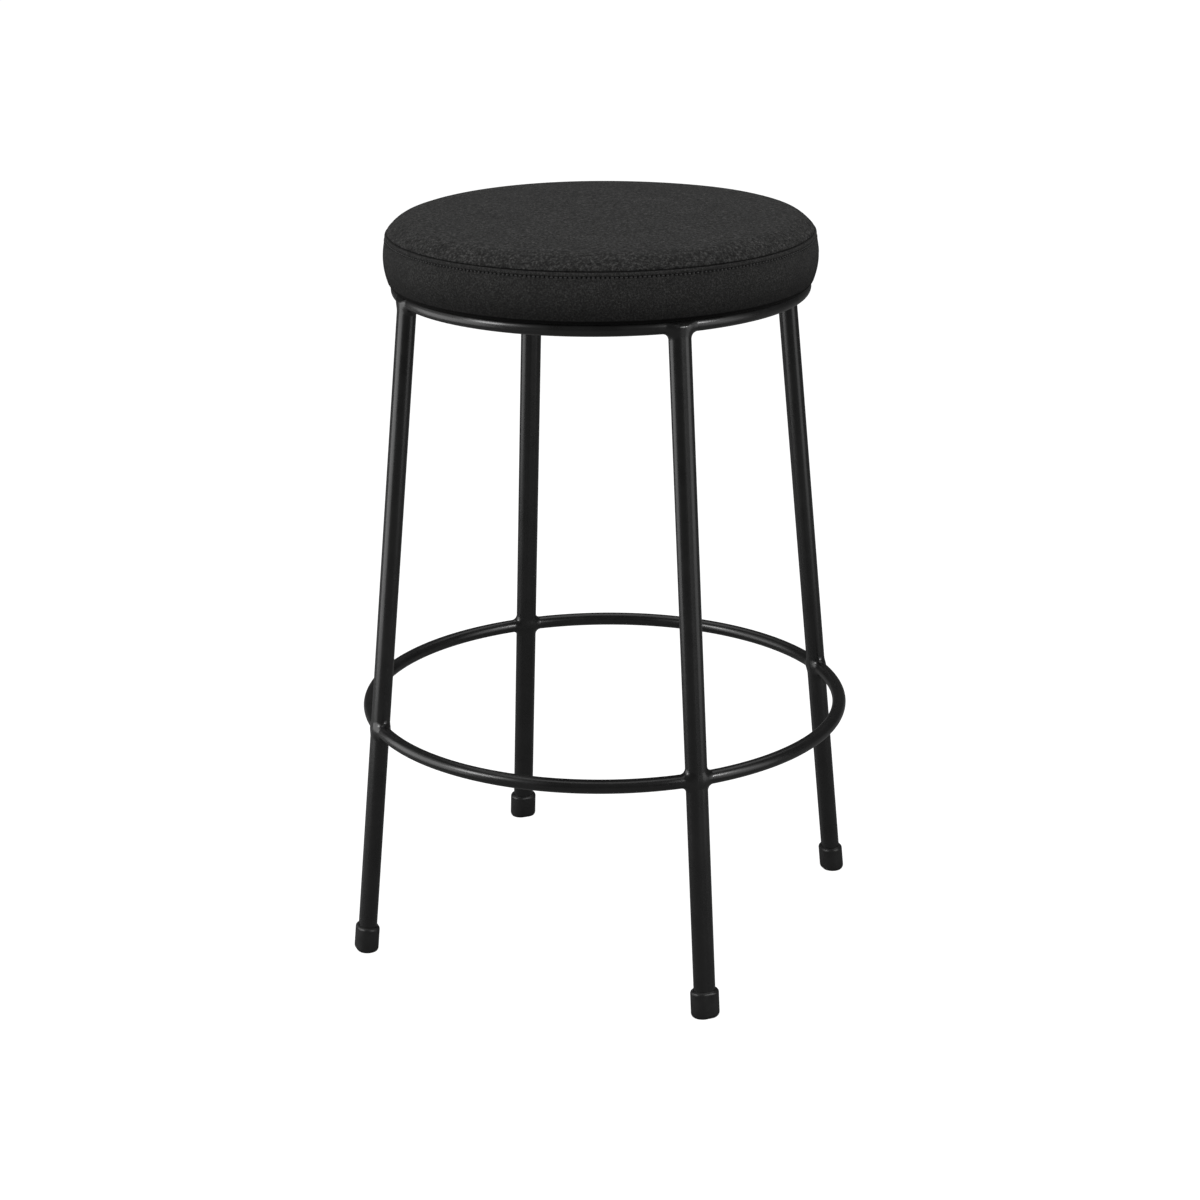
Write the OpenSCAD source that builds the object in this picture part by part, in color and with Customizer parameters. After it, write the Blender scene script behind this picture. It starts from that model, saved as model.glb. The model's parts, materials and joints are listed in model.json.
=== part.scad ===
// Round upholstered bar stool: four leaning oval-tube legs, a seat ring,
// a footrest ring of four welded arcs, and a padded seat on a plywood board.
// The stool stands on z = 0, centred on the Z axis. The front is towards -Y.

/* [Frame] */
// Height of the seat ring's centreline
ring_z = 588; // [540:1:700]
// Radius of the seat ring's centreline
ring_r = 174.5; // [173.5:0.5:176]
// Diameter of the seat ring's rod
ring_rod_d = 12; // [11:0.5:13]
// Distance of a leg's axis from the centre at the seat ring
leg_top_r = 174; // [172.5:0.5:175.5]
// Distance of a leg's axis from the centre at the floor
leg_foot_r = 232; // [215:1:250]
// Leg tube, size across the radial direction
leg_w = 15.5; // [14:0.5:17]
// Leg tube, size along the tangential direction
leg_l = 19; // [17.5:0.5:21]
// Wall of the leg tube
leg_wall = 1.5; // [1:0.1:2.5]
// Size of the weld beads at the leg tops
weld = 3; // [2:0.5:4]

/* [Footrest] */
// Height of the footrest's centreline
footrest_z = 209; // [150:1:300]
// Diameter of the footrest's rod
footrest_rod_d = 12; // [9:0.5:12]
// Size of the weld beads at the footrest
footrest_weld = 1.2; // [0.8:0.1:1.3]

/* [Foot caps] */
// Cap, size across the radial direction
cap_w = 20.2; // [19.6:0.2:24]
// Cap, size along the tangential direction
cap_l = 25; // [24:0.2:28]
// Height of a cap above the floor, along the leg
cap_h = 23.5; // [18:0.5:32]
// Thickness of the cap's floor
cap_floor = 4; // [3:0.5:6]

/* [Seat] */
// Height of the cushion's crown above the seat ring's centreline
cushion_rise = 65; // [62:0.5:72]
// Radius of the plywood board
board_r = 174; // [172.5:0.5:175]
// Thickness of the plywood board
board_t = 12; // [11:0.5:14]
// Thickness of the seat cover's cloth
cloth_t = 1.2; // [0.8:0.1:1.5]
// Distance of the four seat screws from the centre
screw_r = 145; // [142:0.5:147]
// Diameter of the seat screws
screw_d = 6; // [5:0.5:6]
// Number of staples that hold the cover to the board
cover_staple_count = 24; // [16:4:32]
// Number of staples that hold the dust cover
dust_staple_count = 16; // [8:8:16]

/* [Hidden] */
$fn = 64;
RING_FN = 192;                // sides of the large rings
LEG_NAMES = ["back_right", "back_left", "front_left", "front_right"];
ARC_NAMES = ["right", "back", "left", "front"];

STEEL = "#232324";
PLASTIC = "#1a1a1b";
CLOTH = "#3d3d3e";
CLEAR = 0.1;                  // gap between a soft or pushed-on piece and its neighbour
BIG = 700;                    // larger than the stool, for cutting blocks

// Legs: a quarter turn apart, starting on the diagonal
first_leg = 45;
lean = atan((leg_foot_r - leg_top_r) / ring_z);
footrest_r = leg_foot_r - (leg_foot_r - leg_top_r) * footrest_z / ring_z;
leg_span = ring_z / cos(lean);
leg_start = cap_floor + 1;

// Foot cap
cap_sink = 1.5;               // how far the leaning cap reaches below the floor before its sole is cut
cap_shoulder = 3;
cap_edge = 4.5;

// Heights in the seat, from the seat ring upward
rest_z = ring_z + ring_rod_d / 2;
board_z = rest_z + cloth_t + CLEAR;
board_top = board_z + board_t;
crown_z = ring_z + cushion_rise;

// Cushion outline: a crowned top, a round shoulder, a seam, a bulging side and a turned-under edge
widest_r = ring_r + 11.7;
widest_z = rest_z + 20.7;
upper_bulge = 69;             // radius of the side's bulge above its widest place, seen in section
lower_bulge = 53;             // and below it
seam_z = widest_z + 21.3;
seam_angle = asin((seam_z - widest_z) / upper_bulge);
seam_r = widest_r - upper_bulge * (1 - cos(seam_angle));
shoulder = 25;
shoulder_angle = 30;
shoulder_c = [seam_r - shoulder * cos(shoulder_angle), seam_z - shoulder * sin(shoulder_angle)];
crown_r = shoulder_c[0] * shoulder_c[0] / (2 * (crown_z - shoulder_c[1] - shoulder));
crown_angle = 90 - asin(shoulder_c[0] / crown_r);
edge_roll = 2.5;              // radius of the turned-under edge
edge_drop = widest_z - rest_z - edge_roll;
edge_angle = -asin(edge_drop / (lower_bulge - edge_roll));
edge_c = [widest_r - lower_bulge + (lower_bulge - edge_roll) * cos(edge_angle), rest_z + edge_roll];
flap_r = 155;

// Dust cover, tabs and fasteners under the seat
dust_t = 0.8;
dust_r = 165;
dust_hole_d = 11;
tab_t = 3;
tab_w = 30;
tab_top = rest_z - dust_t - 0.2;
tab_hole_d = screw_d + 1;
tab_bead = weld - 0.5;        // size of the weld bead under a tab
tab_bead_l = tab_w - 2;
washer_d = 2 * screw_d;
washer_t = 1.6;
head_d = 1.75 * screw_d;
head_face_d = 0.7 * head_d;
head_h = 0.55 * screw_d;
socket_d = 4.6;
socket_depth = 0.6 * head_h;
screw_len = 18;
nut_flange_d = 19;
nut_flange_t = 1.2;
nut_barrel_d = screw_d + 2;
nut_barrel_h = 9;

// Staples
staple_crown = 10;
staple_wire = 0.6;
staple_leg = 6;
cover_staple_r = ring_r - ring_rod_d / 2 - 1.4;
dust_staple_r = 160.5;

// Points along an arc about c, from angle a0 to a1. An arc that goes on from another leaves out the first.
function arc_points(c, r, a0, a1, n, first = 0) =
    [for (i = [first:n]) let (a = a0 + (a1 - a0) * i / n) [c[0] + r * cos(a), c[1] + r * sin(a)]];

function reversed(list) = [for (i = [len(list) - 1:-1:0]) list[i]];

// The cushion's top, from the centre to the seam, moved inward by inset
function top_line(inset) = concat(
    arc_points([0, crown_z - crown_r], crown_r - inset, 90, crown_angle, 10),
    arc_points(shoulder_c, shoulder - inset, crown_angle, shoulder_angle, 10, 1));

// The cushion's side, from the seam to where it turns under, moved inward by inset
function side_line(inset) = concat(
    arc_points([widest_r - upper_bulge, widest_z], upper_bulge - inset, seam_angle, 0, 6),
    arc_points([widest_r - lower_bulge, widest_z], lower_bulge - inset, 0, edge_angle, 6, 1),
    arc_points(edge_c, edge_roll - inset, edge_angle, -90, 5, 1));

// Places its children on a leg's axis, which starts on the floor
module on_leg(turn) {
    rotate([0, 0, turn]) translate([leg_foot_r, 0, 0]) rotate([0, -lean, 0]) children();
}

module ring_rod(r, d, z) {
    translate([0, 0, z]) rotate_extrude($fn = RING_FN) translate([r, 0]) circle(d = d);
}

module seat_ring_rod(grow = 0) {
    ring_rod(ring_r, ring_rod_d + 2 * grow, ring_z);
}

// Oval tube section: flat faces in and out, round to the sides
module oval(grow = 0) {
    half_flat = (leg_l - leg_w) / 2;
    for (side = [-1, 1]) translate([0, side * half_flat]) circle(d = leg_w + 2 * grow);
    square([leg_w + 2 * grow, 2 * half_flat], center = true);
}

// A leg as a filled bar up to the seat ring's centre, for cutting what meets it
module leg_bar(turn, grow = 0) {
    difference() {
        on_leg(turn) linear_extrude(leg_span + leg_w) oval(grow);
        translate([-BIG / 2, -BIG / 2, ring_z]) cube(BIG);
    }
}

module leg(turn) {
    color(STEEL) difference() {
        on_leg(turn) translate([0, 0, leg_start]) linear_extrude(leg_span + leg_w - leg_start)
            difference() {
                oval();
                oval(-leg_wall);
            }
        translate([-BIG / 2, -BIG / 2, ring_z]) cube(BIG);
        seat_ring_rod();
    }
}

module seat_ring() {
    color(STEEL) seat_ring_rod();
}

// One quarter of the footrest, cut to butt against a leg at each end
module footrest_arc(turn) {
    color(STEEL) difference() {
        translate([0, 0, footrest_z]) rotate([0, 0, turn])
            rotate_extrude(angle = 90, $fn = RING_FN) translate([footrest_r, 0]) circle(d = footrest_rod_d);
        leg_bar(turn);
        leg_bar(turn + 90);
    }
}

module leg_top_welds() {
    color(STEEL) for (turn = [first_leg:90:359]) difference() {
        intersection() {
            leg_bar(turn, weld);
            seat_ring_rod(weld);
        }
        leg_bar(turn);
        seat_ring_rod();
    }
}

// A bead round each end of the footrest's arcs, where they meet the legs
module footrest_welds() {
    bead_turn = asin((leg_l / 2 + footrest_weld) / footrest_r);
    color(STEEL) for (turn = [first_leg:90:359]) difference() {
        translate([0, 0, footrest_z]) rotate([0, 0, turn - bead_turn])
            rotate_extrude(angle = 2 * bead_turn, $fn = RING_FN) translate([footrest_r, 0]) difference() {
                circle(d = footrest_rod_d + 2 * footrest_weld);
                circle(d = footrest_rod_d);
            }
        leg_bar(turn);
    }
}

// Plate of a seat tab, from its round inner end to the seat ring
module tab_plate(turn, grow = 0) {
    rotate([0, 0, turn]) translate([0, 0, tab_top - tab_t - grow]) linear_extrude(tab_t + 2 * grow) {
        translate([screw_r, 0]) circle(d = tab_w + 2 * grow);
        translate([screw_r, -tab_w / 2 - grow]) square([ring_r - screw_r, tab_w + 2 * grow]);
    }
}

module seat_tab(turn) {
    color(STEEL) difference() {
        tab_plate(turn);
        seat_ring_rod();
        rotate([0, 0, turn]) translate([screw_r, 0, tab_top - 2 * tab_t]) cylinder(d = tab_hole_d, h = 3 * tab_t);
    }
}

// A bead under each tab, where it meets the seat ring
module seat_tab_welds() {
    color(STEEL) for (turn = [0:90:359]) difference() {
        intersection() {
            rotate([0, 0, turn]) translate([screw_r, -tab_bead_l / 2, tab_top - tab_t - tab_bead])
                cube([ring_r - screw_r, tab_bead_l, tab_bead]);
            seat_ring_rod(tab_bead);
        }
        seat_ring_rod();
    }
}

// Upright profile of a foot cap, centred on x = 0, with a round shoulder and bottom edge
module cap_profile() {
    top = cap_h + cap_sink;
    translate([-cap_w / 2, cap_edge]) square([cap_w, top - cap_edge - cap_shoulder]);
    translate([cap_shoulder - cap_w / 2, cap_edge]) square([cap_w - 2 * cap_shoulder, top - cap_edge]);
    translate([cap_edge - cap_w / 2, 0]) square([cap_w - 2 * cap_edge, 2 * cap_edge]);
    for (side = [-1, 1]) {
        translate([side * (cap_w / 2 - cap_shoulder), top - cap_shoulder]) circle(r = cap_shoulder);
        translate([side * (cap_w / 2 - cap_edge), cap_edge]) circle(r = cap_edge);
    }
}

module foot_cap(turn) {
    half_flat = (cap_l - cap_w) / 2;
    color(PLASTIC) difference() {
        on_leg(turn) translate([0, 0, -cap_sink]) difference() {
            union() {
                rotate([90, 0, 0]) linear_extrude(2 * half_flat, center = true) cap_profile();
                for (side = [0, 180]) rotate([0, 0, side]) translate([0, half_flat, 0])
                    rotate_extrude(angle = 180) intersection() {
                        cap_profile();
                        square(2 * cap_h);
                    }
            }
            translate([0, 0, leg_start + cap_sink - CLEAR]) linear_extrude(2 * cap_h) oval(CLEAR);
        }
        translate([-BIG / 2, -BIG / 2, -BIG]) cube(BIG);
    }
}

module at_screws() {
    for (turn = [0:90:359]) rotate([0, 0, turn]) translate([screw_r, 0, 0]) children();
}

module seat_board() {
    color("#b08d5b") difference() {
        translate([0, 0, board_z]) cylinder(r = board_r, h = board_t, $fn = 128);
        at_screws() translate([0, 0, board_z - 1]) cylinder(d = nut_barrel_d + 2 * CLEAR, h = board_t + 2);
        cover_staple_wires();
        dust_staple_wires();
    }
}

module tee_nuts() {
    color("silver") at_screws() difference() {
        union() {
            translate([0, 0, board_top]) cylinder(d = nut_flange_d, h = nut_flange_t);
            translate([0, 0, board_top - nut_barrel_h]) cylinder(d = nut_barrel_d, h = nut_barrel_h);
        }
        translate([0, 0, board_z]) cylinder(d = screw_d + CLEAR, h = board_t + 2 * nut_flange_t);
    }
}

module foam_pad() {
    skin = cloth_t + CLEAR;
    color("#d9cfa8") difference() {
        rotate_extrude($fn = 128) polygon(concat(top_line(skin), side_line(skin),
            [[board_r + CLEAR, rest_z + skin], [board_r + CLEAR, board_top + CLEAR], [0, board_top + CLEAR]]));
        at_screws() translate([0, 0, board_top]) cylinder(d = nut_flange_d + 1, h = nut_flange_t + 2 * CLEAR);
    }
}

module cover_top_panel() {
    color(CLOTH) rotate_extrude($fn = 128) polygon(concat(top_line(0), reversed(top_line(cloth_t))));
}

module cover_side_band() {
    color(CLOTH) difference() {
        rotate_extrude($fn = 128) polygon(concat(side_line(0),
            [[flap_r, rest_z], [flap_r, rest_z + cloth_t]], reversed(side_line(cloth_t))));
        cover_staple_wires();
        dust_staple_wires();
    }
}

module dust_cover() {
    color("#151515") difference() {
        translate([0, 0, rest_z - dust_t]) cylinder(r = dust_r, h = dust_t, $fn = 128);
        at_screws() translate([0, 0, rest_z - 2 * dust_t]) cylinder(d = dust_hole_d, h = 3 * dust_t);
        dust_staple_wires();
    }
}

// Staples in a ring, driven upward, with their crowns against the face at height z
module staple_ring(r, z, count, phase) {
    for (i = [0:count - 1]) rotate([0, 0, (i + phase) * 360 / count])
        translate([r - staple_wire / 2, -staple_crown / 2, z - staple_wire]) {
            cube([staple_wire, staple_crown, staple_wire]);
            for (y = [0, staple_crown - staple_wire]) translate([0, y, 0])
                cube([staple_wire, staple_wire, staple_wire + staple_leg]);
        }
}

module cover_staple_wires() {
    staple_ring(cover_staple_r, rest_z, cover_staple_count, 0.5);
}

module dust_staple_wires() {
    staple_ring(dust_staple_r, rest_z - dust_t, dust_staple_count, 0.5);
}

module cover_staples() {
    color("silver") cover_staple_wires();
}

module dust_cover_staples() {
    color("silver") dust_staple_wires();
}

// Button-head screws, driven up through the washers and tabs into the tee nuts
module seat_screws() {
    head_z = tab_top - tab_t - washer_t;
    color("#2a2a2b") at_screws() difference() {
        union() {
            translate([0, 0, head_z - head_h]) cylinder(d1 = head_face_d, d2 = head_d, h = head_h);
            translate([0, 0, head_z]) cylinder(d = screw_d, h = screw_len);
        }
        translate([0, 0, head_z - head_h - 1]) cylinder(d = socket_d, h = socket_depth + 1, $fn = 6);
    }
}

module seat_washers() {
    color("#2a2a2b") at_screws() translate([0, 0, tab_top - tab_t - washer_t]) difference() {
        cylinder(d = washer_d, h = washer_t);
        translate([0, 0, -washer_t]) cylinder(d = screw_d + 4 * CLEAR, h = 3 * washer_t);
    }
}

seat_ring();
for (i = [0:3]) {
    turn = first_leg + 90 * i;
    leg(turn);
    foot_cap(turn);
    footrest_arc(turn);
    seat_tab(90 * i);
}
leg_top_welds();
footrest_welds();
seat_tab_welds();
seat_board();
tee_nuts();
foam_pad();
cover_top_panel();
cover_side_band();
cover_staples();
dust_cover();
dust_cover_staples();
seat_screws();
seat_washers();
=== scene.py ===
import json
import math
import random

import bmesh
import bpy
import numpy as np
from mathutils import Matrix, Vector
from mathutils.bvhtree import BVHTree


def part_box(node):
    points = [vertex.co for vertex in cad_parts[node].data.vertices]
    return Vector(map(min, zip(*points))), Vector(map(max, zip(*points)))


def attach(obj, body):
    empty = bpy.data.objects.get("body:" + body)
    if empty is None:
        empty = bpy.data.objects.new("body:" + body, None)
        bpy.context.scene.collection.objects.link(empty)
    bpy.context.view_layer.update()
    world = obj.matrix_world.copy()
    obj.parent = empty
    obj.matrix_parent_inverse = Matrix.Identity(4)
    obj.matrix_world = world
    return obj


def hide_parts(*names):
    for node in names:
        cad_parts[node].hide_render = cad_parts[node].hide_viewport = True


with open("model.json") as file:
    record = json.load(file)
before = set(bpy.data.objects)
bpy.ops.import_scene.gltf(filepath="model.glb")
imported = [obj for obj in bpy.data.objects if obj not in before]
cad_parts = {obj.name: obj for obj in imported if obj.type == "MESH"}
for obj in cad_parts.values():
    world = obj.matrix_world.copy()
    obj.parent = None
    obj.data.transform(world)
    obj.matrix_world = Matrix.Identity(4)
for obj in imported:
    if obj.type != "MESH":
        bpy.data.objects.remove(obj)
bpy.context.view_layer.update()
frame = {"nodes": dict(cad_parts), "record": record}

MM = 0.001
scene = bpy.context.scene
nodes = frame["nodes"]

# ---------------------------------------------------------------- measures taken from the frame

ring_low, ring_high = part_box("seat_ring")
RING_Z = (ring_low.z + ring_high.z) / 2
RING_ROD = (ring_high.z - ring_low.z) / 2
RING_R = ring_high.x - RING_ROD

rest_low, rest_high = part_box("footrest_front")
REST_Z = (rest_low.z + rest_high.z) / 2
REST_ROD = (rest_high.z - rest_low.z) / 2
REST_R = -rest_low.y - REST_ROD

band_low, band_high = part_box("cover_side_band")
WIDEST_R = band_high.x
SEAT_BOTTOM = band_low.z
CROWN_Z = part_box("cover_top_panel")[1].z
MIDDLE_Z = (CROWN_Z + SEAT_BOTTOM) / 2

board_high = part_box("seat_board")[1]
nut_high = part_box("tee_nuts")[1]
dust_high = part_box("dust_cover")[1]

# ---------------------------------------------------------------- design values, in metres

LEG_DEPTH = 15.5 * MM          # the oval tube, across the radial direction
LEG_WIDTH = 19.0 * MM          # and along the tangential direction
LEG_TOP_R = 174.0 * MM         # distance of a leg's axis from the centre, at the seat ring
LEG_FOOT_R = 232.0 * MM        # and at the floor
LEAN = math.atan((LEG_FOOT_R - LEG_TOP_R) / RING_Z)
LEG_TURNS = [math.radians(a) for a in (45, 135, 225, 315)]
STUB_SECTION = 40              # points round a stub that a welded joint is blended from
SKIN_SINK = 0.10 * MM          # how far a joint's skin lies inside the steel, away from its fillets

WIDEST_Z = SEAT_BOTTOM + 20.7 * MM
SEAM_Z = WIDEST_Z + 21.3 * MM
UPPER_BULGE = 69 * MM          # radius of the side's bulge above its widest place, seen in section
LOWER_BULGE = 53 * MM          # and below it
SHOULDER = 25 * MM             # radius of the top's rounded shoulder
SHOULDER_ANGLE = 30            # slope of the shoulder where it meets the seam, in degrees
EDGE_ROLL = 2.5 * MM           # radius of the turned-under edge
EDGE_DROP = 1.2 * MM           # how far that edge hangs below the ring's top, outside the ring
RING_AIR = 0.3 * MM            # least air between the cover and the ring
FLAP_R = 155 * MM              # where the turned-under cover ends
CLOTH = 1.2 * MM
POCKET_R = board_high.x + 0.3 * MM
POCKET_TOP = nut_high.z + 0.2 * MM

PAD_INSET = 3.0 * MM           # how much smaller in radius the simulated pad starts
PAD_HEIGHT_SHARE = 0.90        # and its height, as a share of the cushion's
PAD_FRAMES = 20
SWELL_DIRECTIONS = 96          # directions in which the swollen pad is measured
SLOW_WAVES = 7                 # swells round the seat that the padding shows, at most
SWELL_LIMIT = 1.2 * MM

TOPSTITCH_DROP = 4.5 * MM      # from the seam down to the line of stitches
SEAM_DEPTH = 1.30 * MM
WELT_HEIGHT = 0.50 * MM        # of the strip between the seam and the stitches
GROOVE_DEPTH = 0.45 * MM       # of the stitched groove, between two needle holes
HOLE_DEPTH = 1.35 * MM         # and how much deeper it is at a hole
STITCH_PITCH = 3.7 * MM
COLUMNS_PER_STITCH = 4         # columns of the cushion's mesh
THREAD = 0.30 * MM             # radius of the sewing thread
THREAD_SECTION = 8             # points round it
STITCH_RINGS = 9               # rings of them along one stitch

YARN_PITCH = 0.85 * MM
# Painted shade for the low places of the weave, between the yarns. The yarn and pale fibre colours below are
# the cloth's own.
CLOTH_WEAVE_SHADE = (0.0085, 0.0085, 0.0085)
CLOTH_YARN = (0.0260, 0.0258, 0.0253)
CLOTH_PALE = (0.072, 0.0715, 0.070)

DUST_THICK = 0.5 * MM
DUST_STAPLES = 16

VIEW_TURN = 23.93              # the camera's direction, in degrees round from the front
VIEW_RISE = 18.318             # its height over the horizon, in degrees
VIEW_ROLL = -0.512
VIEW_DISTANCE = 3.9965 * RING_Z
WORLD_MATT = 0.55              # the world's strength as matt surfaces meet it
WORLD_GLOSSY = 0.06            # as gloss reflects it
WORLD_SEEN = 1.0               # and as the camera sees it


# ---------------------------------------------------------------- mesh helpers

def new_object(name, verts, faces):
    mesh = bpy.data.meshes.new(name)
    mesh.from_pydata([tuple(v) for v in verts], [], [tuple(f) for f in faces])
    mesh.validate()
    mesh.update()
    mesh.polygons.foreach_set("use_smooth", [True] * len(mesh.polygons))
    obj = bpy.data.objects.new(name, mesh)
    scene.collection.objects.link(obj)
    return obj


def outward(obj):
    """Turns all faces of a closed mesh to look outward."""
    bm = bmesh.new()
    bm.from_mesh(obj.data)
    bmesh.ops.recalc_face_normals(bm, faces=bm.faces)
    bm.to_mesh(obj.data)
    bm.free()
    return obj


def read_points(obj):
    co = np.empty(len(obj.data.vertices) * 3)
    obj.data.vertices.foreach_get("co", co)
    return co.reshape(-1, 3)


def write_points(obj, points):
    obj.data.vertices.foreach_set("co", np.asarray(points, float).ravel())
    obj.data.update()


def apply_modifiers(obj):
    graph = bpy.context.evaluated_depsgraph_get()
    mesh = bpy.data.meshes.new_from_object(obj.evaluated_get(graph))
    obj.modifiers.clear()
    obj.data = mesh


def voxel_remesh(obj, size):
    remesh = obj.modifiers.new("remesh", "REMESH")
    remesh.mode = "VOXEL"
    remesh.voxel_size = size
    apply_modifiers(obj)


def arc(centre, radius, start, end, count):
    """Points on an arc in the (r, z) plane, with angles in degrees."""
    angles = np.radians(np.linspace(start, end, count))
    return np.stack([centre[0] + radius * np.cos(angles), centre[1] + radius * np.sin(angles)], -1)


def spaced(line, step):
    """The same line with points about one step apart."""
    line = np.asarray(line)
    along = np.concatenate([[0], np.cumsum(np.hypot(*np.diff(line, axis=0).T))])
    count = max(2, int(round(along[-1] / step)) + 1)
    at = np.linspace(0, along[-1], count)
    return np.stack([np.interp(at, along, line[:, 0]), np.interp(at, along, line[:, 1])], -1)


def circle(count):
    """Evenly spaced angles all the way round."""
    return np.linspace(0, 2 * math.pi, count, endpoint=False)


def revolve(name, profile, count):
    """A surface of revolution. Where its profile starts or ends on the axis, it is closed with one point."""
    angles = circle(count)
    verts, rings = [], []
    for r, z in profile:
        if r < 1e-7:
            rings.append([len(verts)])
            verts.append((0, 0, z))
        else:
            rings.append(list(range(len(verts), len(verts) + count)))
            verts.extend(zip(r * np.cos(angles), r * np.sin(angles), np.full(count, z)))
    faces = []
    for a, b in zip(rings, rings[1:]):
        for i in range(count):
            j = (i + 1) % count
            if len(a) == 1:
                faces.append((a[0], b[i], b[j]))
            elif len(b) == 1:
                faces.append((a[j], a[i], b[0]))
            else:
                faces.append((a[i], b[i], b[j], a[j]))
    return outward(new_object(name, verts, faces))


def turned_faces(rings, count):
    """Faces of a closed form whose points are a first one, then rings of them, then a last one."""
    faces = [(0, 1 + i, 1 + (i + 1) % count) for i in range(count)]
    for ring in range(rings - 1):
        a, b = 1 + ring * count, 1 + (ring + 1) * count
        faces += [(a + i, b + i, b + (i + 1) % count, a + (i + 1) % count) for i in range(count)]
    last = 1 + (rings - 1) * count
    return faces + [(last + (i + 1) % count, last + i, last + count) for i in range(count)]


def tube_faces(rings, section, base=0):
    """Faces of a closed tube whose points lie ring after ring, from the point numbered base on."""
    faces = []
    for i in range(rings - 1):
        for j in range(section):
            a, b = base + i * section + j, base + i * section + (j + 1) % section
            faces.append((a, b, b + section, a + section))
    ends = [range(base + i * section, base + (i + 1) * section) for i in (0, rings - 1)]
    return faces + [tuple(ends[0]), tuple(reversed(ends[1]))]


def hill(distance, centre, width):
    """One at the centre, falling away to nothing on both sides."""
    return np.exp(-((distance - centre) / width) ** 2)


# ---------------------------------------------------------------- node helpers

class Nodes:
    """A material's node tree, with short calls for the nodes that this scene uses."""

    def __init__(self, name):
        self.material = bpy.data.materials.new(name)
        self.material.use_nodes = True
        self.tree = self.material.node_tree
        self.shader = self.tree.nodes["Principled BSDF"]
        self.place = self.tree.nodes.new("ShaderNodeTexCoord").outputs["Object"]

    def link(self, source, socket):
        if hasattr(source, "is_output"):
            self.tree.links.new(source, socket)
        else:
            socket.default_value = source

    def math(self, operation, *values):
        node = self.tree.nodes.new("ShaderNodeMath")
        node.operation = operation
        for value, socket in zip(values, node.inputs):
            self.link(value, socket)
        return node.outputs[0]

    def axes(self):
        node = self.tree.nodes.new("ShaderNodeSeparateXYZ")
        self.link(self.place, node.inputs[0])
        return node.outputs

    def noise(self, scale, detail=2.0, roughness=0.5, at=None):
        node = self.tree.nodes.new("ShaderNodeTexNoise")
        self.link(self.place if at is None else at, node.inputs["Vector"])
        node.inputs["Scale"].default_value = scale
        node.inputs["Detail"].default_value = detail
        node.inputs["Roughness"].default_value = roughness
        return node.outputs["Fac"]

    def peak(self, value, centre, width):
        """One at the centre, falling away to nothing on both sides."""
        off = self.math("DIVIDE", self.math("SUBTRACT", value, centre), width)
        return self.math("EXPONENT", self.math("MULTIPLY", self.math("MULTIPLY", off, off), -1.0))

    def scaled(self, x, y, z):
        node = self.tree.nodes.new("ShaderNodeVectorMath")
        node.operation = "MULTIPLY"
        self.link(self.place, node.inputs[0])
        node.inputs[1].default_value = (x, y, z)
        return node.outputs[0]

    def ramp(self, value, stops):
        node = self.tree.nodes.new("ShaderNodeValToRGB")
        self.link(value, node.inputs[0])
        points = node.color_ramp.elements
        while len(points) < len(stops):
            points.new(0.5)
        for point, (position, colour) in zip(points, stops):
            point.position = position
            point.color = (*colour, 1) if hasattr(colour, "__len__") else (colour, colour, colour, 1)
        return node.outputs[0]

    def spread(self, value, low, high):
        """A noise value, mapped from its usual 0.3 to 0.7 onto low to high."""
        node = self.tree.nodes.new("ShaderNodeMapRange")
        self.link(value, node.inputs["Value"])
        for name, number in (("From Min", 0.3), ("From Max", 0.7), ("To Min", low), ("To Max", high)):
            node.inputs[name].default_value = number
        return node.outputs[0]

    def mix(self, amount, first, second):
        node = self.tree.nodes.new("ShaderNodeMix")
        node.data_type = "RGBA"
        self.link(amount, node.inputs["Factor"])
        for value, socket in ((first, node.inputs["A"]), (second, node.inputs["B"])):
            colours = [s for s in node.inputs if s.name == socket.name and s.type == "RGBA"]
            value = (*value, 1) if isinstance(value, tuple) and len(value) == 3 else value
            self.link(value, colours[0])
        return [s for s in node.outputs if s.type == "RGBA"][0]

    def bump(self, height, strength, distance, base=None):
        node = self.tree.nodes.new("ShaderNodeBump")
        node.inputs["Strength"].default_value = strength
        node.inputs["Distance"].default_value = distance
        self.link(height, node.inputs["Height"])
        if base is not None:
            self.link(base, node.inputs["Normal"])
        return node.outputs[0]

    def finish(self, colour, roughness, normal=None, **plain):
        self.link(colour, self.shader.inputs["Base Color"])
        self.link(roughness, self.shader.inputs["Roughness"])
        if normal is not None:
            self.link(normal, self.shader.inputs["Normal"])
        for name, value in plain.items():
            self.shader.inputs[name.replace("_", " ")].default_value = value
        return self.material


def grey(value):
    return (value, value, value)


# ---------------------------------------------------------------- materials

def powder_coat():
    """Satin black powder coat: fine orange peel, faint cloudiness and lighter rubbed spots."""
    n = Nodes("powder_coat")
    peel = n.noise(1500, 2, 0.6)
    cloud = n.noise(40, 3, 0.55)
    rub = n.noise(220, 4, 0.7)
    colour = n.mix(n.spread(cloud, 0, 1), grey(0.0050), grey(0.0080))
    colour = n.mix(n.ramp(rub, [(0.60, 0.0), (0.74, 0.35)]), colour, grey(0.018))
    roughness = n.math("ADD", n.spread(cloud, 0.24, 0.30), n.spread(peel, 0.0, 0.05))
    normal = n.bump(peel, 0.16, 0.10 * MM)
    return n.finish(colour, roughness, normal, Specular_IOR_Level=0.56, Coat_Weight=0.08, Coat_Roughness=0.16)


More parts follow.
